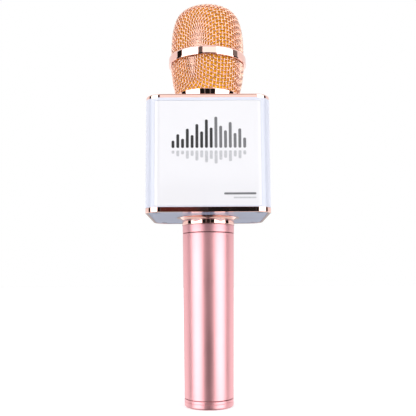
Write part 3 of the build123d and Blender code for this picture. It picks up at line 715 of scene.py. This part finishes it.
def print_marks(name, shapes, face, finish, body):
    """Raise each shape, given as (outline in x and z, center x, center z), off a face."""
    face_y, out = face
    levels = (face_y - out * INK_SINK, face_y + out * INK_THICKNESS)
    bm = bmesh.new()
    for outline, center_x, center_z in shapes:
        base, top = (
            [bm.verts.new(((center_x + x) * MM, y * MM, (center_z + z) * MM))
             for x, z in outline] for y in levels)
        bm.faces.new(base)
        bm.faces.new(list(reversed(top)))
        for k in range(len(outline)):
            k_next = (k + 1) % len(outline)
            bm.faces.new((base[k], top[k], top[k_next], base[k_next]))
    bmesh.ops.recalc_face_normals(bm, faces=bm.faces[:])
    bmesh.ops.triangulate(bm, faces=[f for f in bm.faces if len(f.verts) > 4])
    mesh = bpy.data.meshes.new(name)
    bm.to_mesh(mesh)
    bm.free()
    add_object(name, mesh, finish, body)


BAR_HEIGHTS = [4.0, 7.5, 5.0, 10.5, 7.0, 13.0, 9.0, 15.5,
               11.0, 17.0, 12.0, 9.5, 14.0, 8.0, 10.5, 5.5]
BAR_WIDTH = 1.55
BAR_PITCH = 2.55
FIRST_BAR_X = -18.6
BAR_FOOT_Z = 140.0
DARK_BARS = 9                  # bars from the left in black; the rest are grey
ECHO_TOP_Z = 138.6             # short pale bars hang below the row
ECHO_RATIO = 0.42


def print_front():
    bars, echoes = [], []
    for k, height in enumerate(BAR_HEIGHTS):
        x = FIRST_BAR_X + k * BAR_PITCH
        echo = height * ECHO_RATIO
        bars.append((rounded_bar(BAR_WIDTH, height, 0.7), x, BAR_FOOT_Z + height / 2))
        echoes.append((rounded_bar(BAR_WIDTH, echo, 0.6), x, ECHO_TOP_Z - echo / 2))
    grey_line = (rounded_bar(17.0, 1.1, 0.5), 17.0, 115.4)
    pale_line = (rounded_bar(12.0, 0.8, 0.35), 19.5, 113.2)
    for tone, shapes, finish in (("dark", bars[:DARK_BARS], "ink_black"),
                                 ("mid", bars[DARK_BARS:] + [grey_line], "ink_grey"),
                                 ("pale", echoes + [pale_line], "ink_light")):
        print_marks("front_print_" + tone, shapes, FRONT_FACE, finish, "box")


# key columns stand at x = COLUMN_X, 0 and -COLUMN_X
COLUMN_X = 13.5
PLAY_ROW_Z = 143.6
POWER_ROW_Z = 155.4
PLUS_Z = 134.3
MINUS_Z = 118.7
PLUS_ARM_OFFSET = 0.68         # center of the plus sign's upright arms from its bar


def print_keys():
    # seen from the key side +X is on the left, so a mark that points right points to -X
    pause_bar = rounded_bar(0.55, 2.6, 0.15)
    marks = [("play", "play_button", [(triangle(2.4, 2.8, -1), 0.9, PLAY_ROW_Z),
                                      (pause_bar, -1.2, PLAY_ROW_Z),
                                      (pause_bar, -2.2, PLAY_ROW_Z)])]
    for name, side in (("previous", 1), ("next", -1)):
        arrow = triangle(1.6, 2.0, side)
        stop_bar = rounded_bar(0.5, 2.0, 0.12)
        marks.append((name, name + "_button",
                      [(arrow, side * (COLUMN_X - 0.6), PLAY_ROW_Z),
                       (arrow, side * (COLUMN_X + 1.0), PLAY_ROW_Z),
                       (stop_bar, side * (COLUMN_X + 2.1), PLAY_ROW_Z)]))
    marks.append(("power", "power_button",
                  [(arc_band(1.15, 1.6, 125, 415), COLUMN_X, POWER_ROW_Z),
                   (rounded_bar(0.45, 1.5, 0.12), COLUMN_X, POWER_ROW_Z + 1.0)]))
    marks.append(("mode", "mode_button",
                  [(arc_band(0.75, 1.15, 0, 359.0, steps=40), -COLUMN_X, POWER_ROW_Z),
                   (rounded_bar(0.5, 0.5, 0.2), -COLUMN_X, POWER_ROW_Z)]))
    sign_bar = rounded_bar(2.2, 0.5, 0.15)
    plus_arm = rounded_bar(0.5, 0.84, 0.1)
    for rocker, x in (("mic_volume_rocker", COLUMN_X), ("echo_rocker", 0.0),
                      ("music_volume_rocker", -COLUMN_X)):
        marks.append((rocker, rocker, [(sign_bar, x, PLUS_Z),
                                       (plus_arm, x, PLUS_Z + PLUS_ARM_OFFSET),
                                       (plus_arm, x, PLUS_Z - PLUS_ARM_OFFSET),
                                       (sign_bar, x, MINUS_Z)]))
    for name, body, shapes in marks:
        print_marks("mark_" + name, shapes, KEY_FACE, "ink_grey", body)


print_front()
print_keys()


# ------------------------------------------------------------------ floor, light and camera
def build_floor():
    bm = bmesh.new()
    bmesh.ops.create_grid(bm, x_segments=8, y_segments=8, size=6.0)
    mesh = bpy.data.meshes.new("floor")
    bm.to_mesh(mesh)
    bm.free()
    floor = bpy.data.objects.new("floor", mesh)
    scene.collection.objects.link(floor)
    g = Surface("floor_pale")
    stops = [(0.3, (0.86, 0.86, 0.865)), (0.7, (0.88, 0.88, 0.885))]
    g.set(color=g.ramp(g.noise(scale=14, detail=4), stops), rough=0.8, spec=0.1,
          emission=(1.0, 1.0, 1.0), emission_strength=0.39)
    mesh.materials.append(g.material)
    floor.visible_glossy = False


class Sky(NodeGraph):
    """World nodes that mask regions of the sky by angle in degrees."""

    def __init__(self, tree):
        super().__init__(tree)
        coord = self.node("ShaderNodeTexCoord").outputs["Generated"]
        self.x, self.y, self.z = self.node("ShaderNodeSeparateXYZ", {0: coord}).outputs

    def azimuth(self):
        """Zero toward -Y, positive toward +X."""
        return self.mul(self.math("ARCTAN2", self.x, self.mul(self.y, -1.0)), 180 / math.pi)

    def elevation(self):
        return self.mul(self.math("ARCSINE", self.z), 180 / math.pi)

    def rise(self, value, start, end):
        inputs = {"From Min": start, "From Max": end, "Value": value}
        return self.node("ShaderNodeMapRange", inputs,
                         interpolation_type="SMOOTHSTEP").outputs[0]

    def invert(self, value):
        return self.math("SUBTRACT", 1.0, value)

    def fall(self, value, start, end):
        return self.invert(self.rise(value, start, end))

    def band(self, value, start, end, soft):
        return self.mul(self.rise(value, start - soft, start + soft),
                        self.fall(value, end - soft, end + soft))

    def background(self, strength, color=(1, 1, 1, 1)):
        inputs = {"Color": color, "Strength": strength}
        return self.node("ShaderNodeBackground", inputs).outputs[0]

    def mix(self, factor, first, second):
        return self.node("ShaderNodeMixShader", {"Fac": factor, 1: first, 2: second}).outputs[0]


def build_world():
    world = bpy.data.worlds.new("studio")
    scene.world = world
    world.use_nodes = True
    s = Sky(world.node_tree)
    mul, add, rise, fall, band = s.mul, s.add, s.rise, s.fall, s.band
    off_front = s.math("ABSOLUTE", s.azimuth())    # angle from the front, either side
    elevation = s.elevation()
    azimuth = s.azimuth()

    # masks of the cards and softboxes that reflections see
    high = rise(elevation, start=8.5, end=10.2)
    low = fall(elevation, start=-32.0, end=-18.0)
    softbox = mul(band(off_front, start=27.0, end=80.0, soft=1.2),
                  fall(elevation, start=52.0, end=60.0), s.invert(low))
    behind = mul(rise(off_front, start=150.0, end=160.0),
                 band(elevation, start=-14.0, end=0.5, soft=2.0))
    behind_dimming = 0.65
    back = mul(rise(off_front, start=99.0, end=101.0), s.invert(low),
               s.invert(mul(behind, behind_dimming)))
    card_level, card_top_gain = 1.16, 0.30
    front_card = mul(band(azimuth, start=-13.8, end=27.0, soft=1.0), high,
                     fall(elevation, start=32.0, end=36.0),
                     add(card_level, mul(rise(elevation, start=18.2, end=20.2), card_top_gain)))
    steep = rise(elevation, start=18.5, end=20.0)
    left_haze, right_haze = 0.13, 0.20
    haze = add(mul(band(azimuth, start=-28.0, end=-13.0, soft=1.0), steep, left_haze),
               mul(band(azimuth, start=79.0, end=100.0, soft=1.0), steep, right_haze))
    glow = mul(band(azimuth, start=-9.0, end=-0.9, soft=0.6),
               band(elevation, start=5.9, end=8.2, soft=0.3))
    slits = mul(add(band(azimuth, start=-10.5, end=-8.2, soft=0.4),
                    band(azimuth, start=8.2, end=10.2, soft=0.4)), s.invert(high))
    under = mul(low, rise(off_front, start=25.0, end=60.0))

    # strength of each region
    softbox_level, glow_level, slit_level, under_level = 2.8, 0.085, 0.30, 0.80
    back_level, back_low_gain = 0.95, 0.35
    ambient, overhead = 0.012, 1.0
    back_strength = add(back_level, mul(fall(elevation, start=-2.0, end=5.0), back_low_gain))
    level = add(mul(softbox, softbox_level), mul(back, back_strength), front_card, haze,
                mul(glow, glow_level), mul(slits, slit_level), mul(under, under_level), ambient)
    inputs = {"Factor": rise(elevation, start=62.0, end=72.0), "A": level, "B": overhead}
    strength = s.node("ShaderNodeMix", inputs, data_type="FLOAT").outputs["Result"]
    inputs = {"Factor": glow, "A": (1, 1, 1, 1), "B": (1.0, 0.30, 0.24, 1)}
    color = s.node("ShaderNodeMix", inputs, data_type="RGBA").outputs["Result"]
    studio = s.background(strength, color)

    # a softer, even light for matt surfaces, and plain white behind the scene
    even_level, side_gain, height_gain = 0.50, 0.11, 0.05
    even = s.background(add(even_level,
                            mul(rise(off_front, start=20.0, end=70.0), side_gain),
                            mul(rise(elevation, start=-10.0, end=50.0), height_gain)))
    plain = s.background(strength=1.0)
    rays = s.node("ShaderNodeLightPath").outputs
    lit = s.mix(rays["Is Diffuse Ray"], studio, even)
    seen = s.mix(rays["Is Camera Ray"], lit, plain)
    s.node("ShaderNodeOutputWorld", {"Surface": seen})


CAMERA_PLACE = (-0.0001, -0.35212, 0.06957)    # metres
CAMERA_PITCH = 0.1193                          # radians above level
CAMERA_ROLL = math.radians(0.30)


def build_camera():
    data = bpy.data.cameras.new("camera")
    camera = bpy.data.objects.new("camera", data)
    scene.collection.objects.link(camera)
    data.sensor_width = 36.0
    data.lens = 52.63701923
    data.clip_start = 0.01
    camera.matrix_world = (Matrix.Translation(CAMERA_PLACE)
                           @ Matrix.Rotation(math.pi / 2 + CAMERA_PITCH, 4, "X")
                           @ Matrix.Rotation(-CAMERA_ROLL, 4, "Z"))
    scene.camera = camera


build_floor()
build_world()
build_camera()
scene.view_settings.view_transform = "Standard"
scene.view_settings.look = "None"
scene.cycles.use_denoising = True
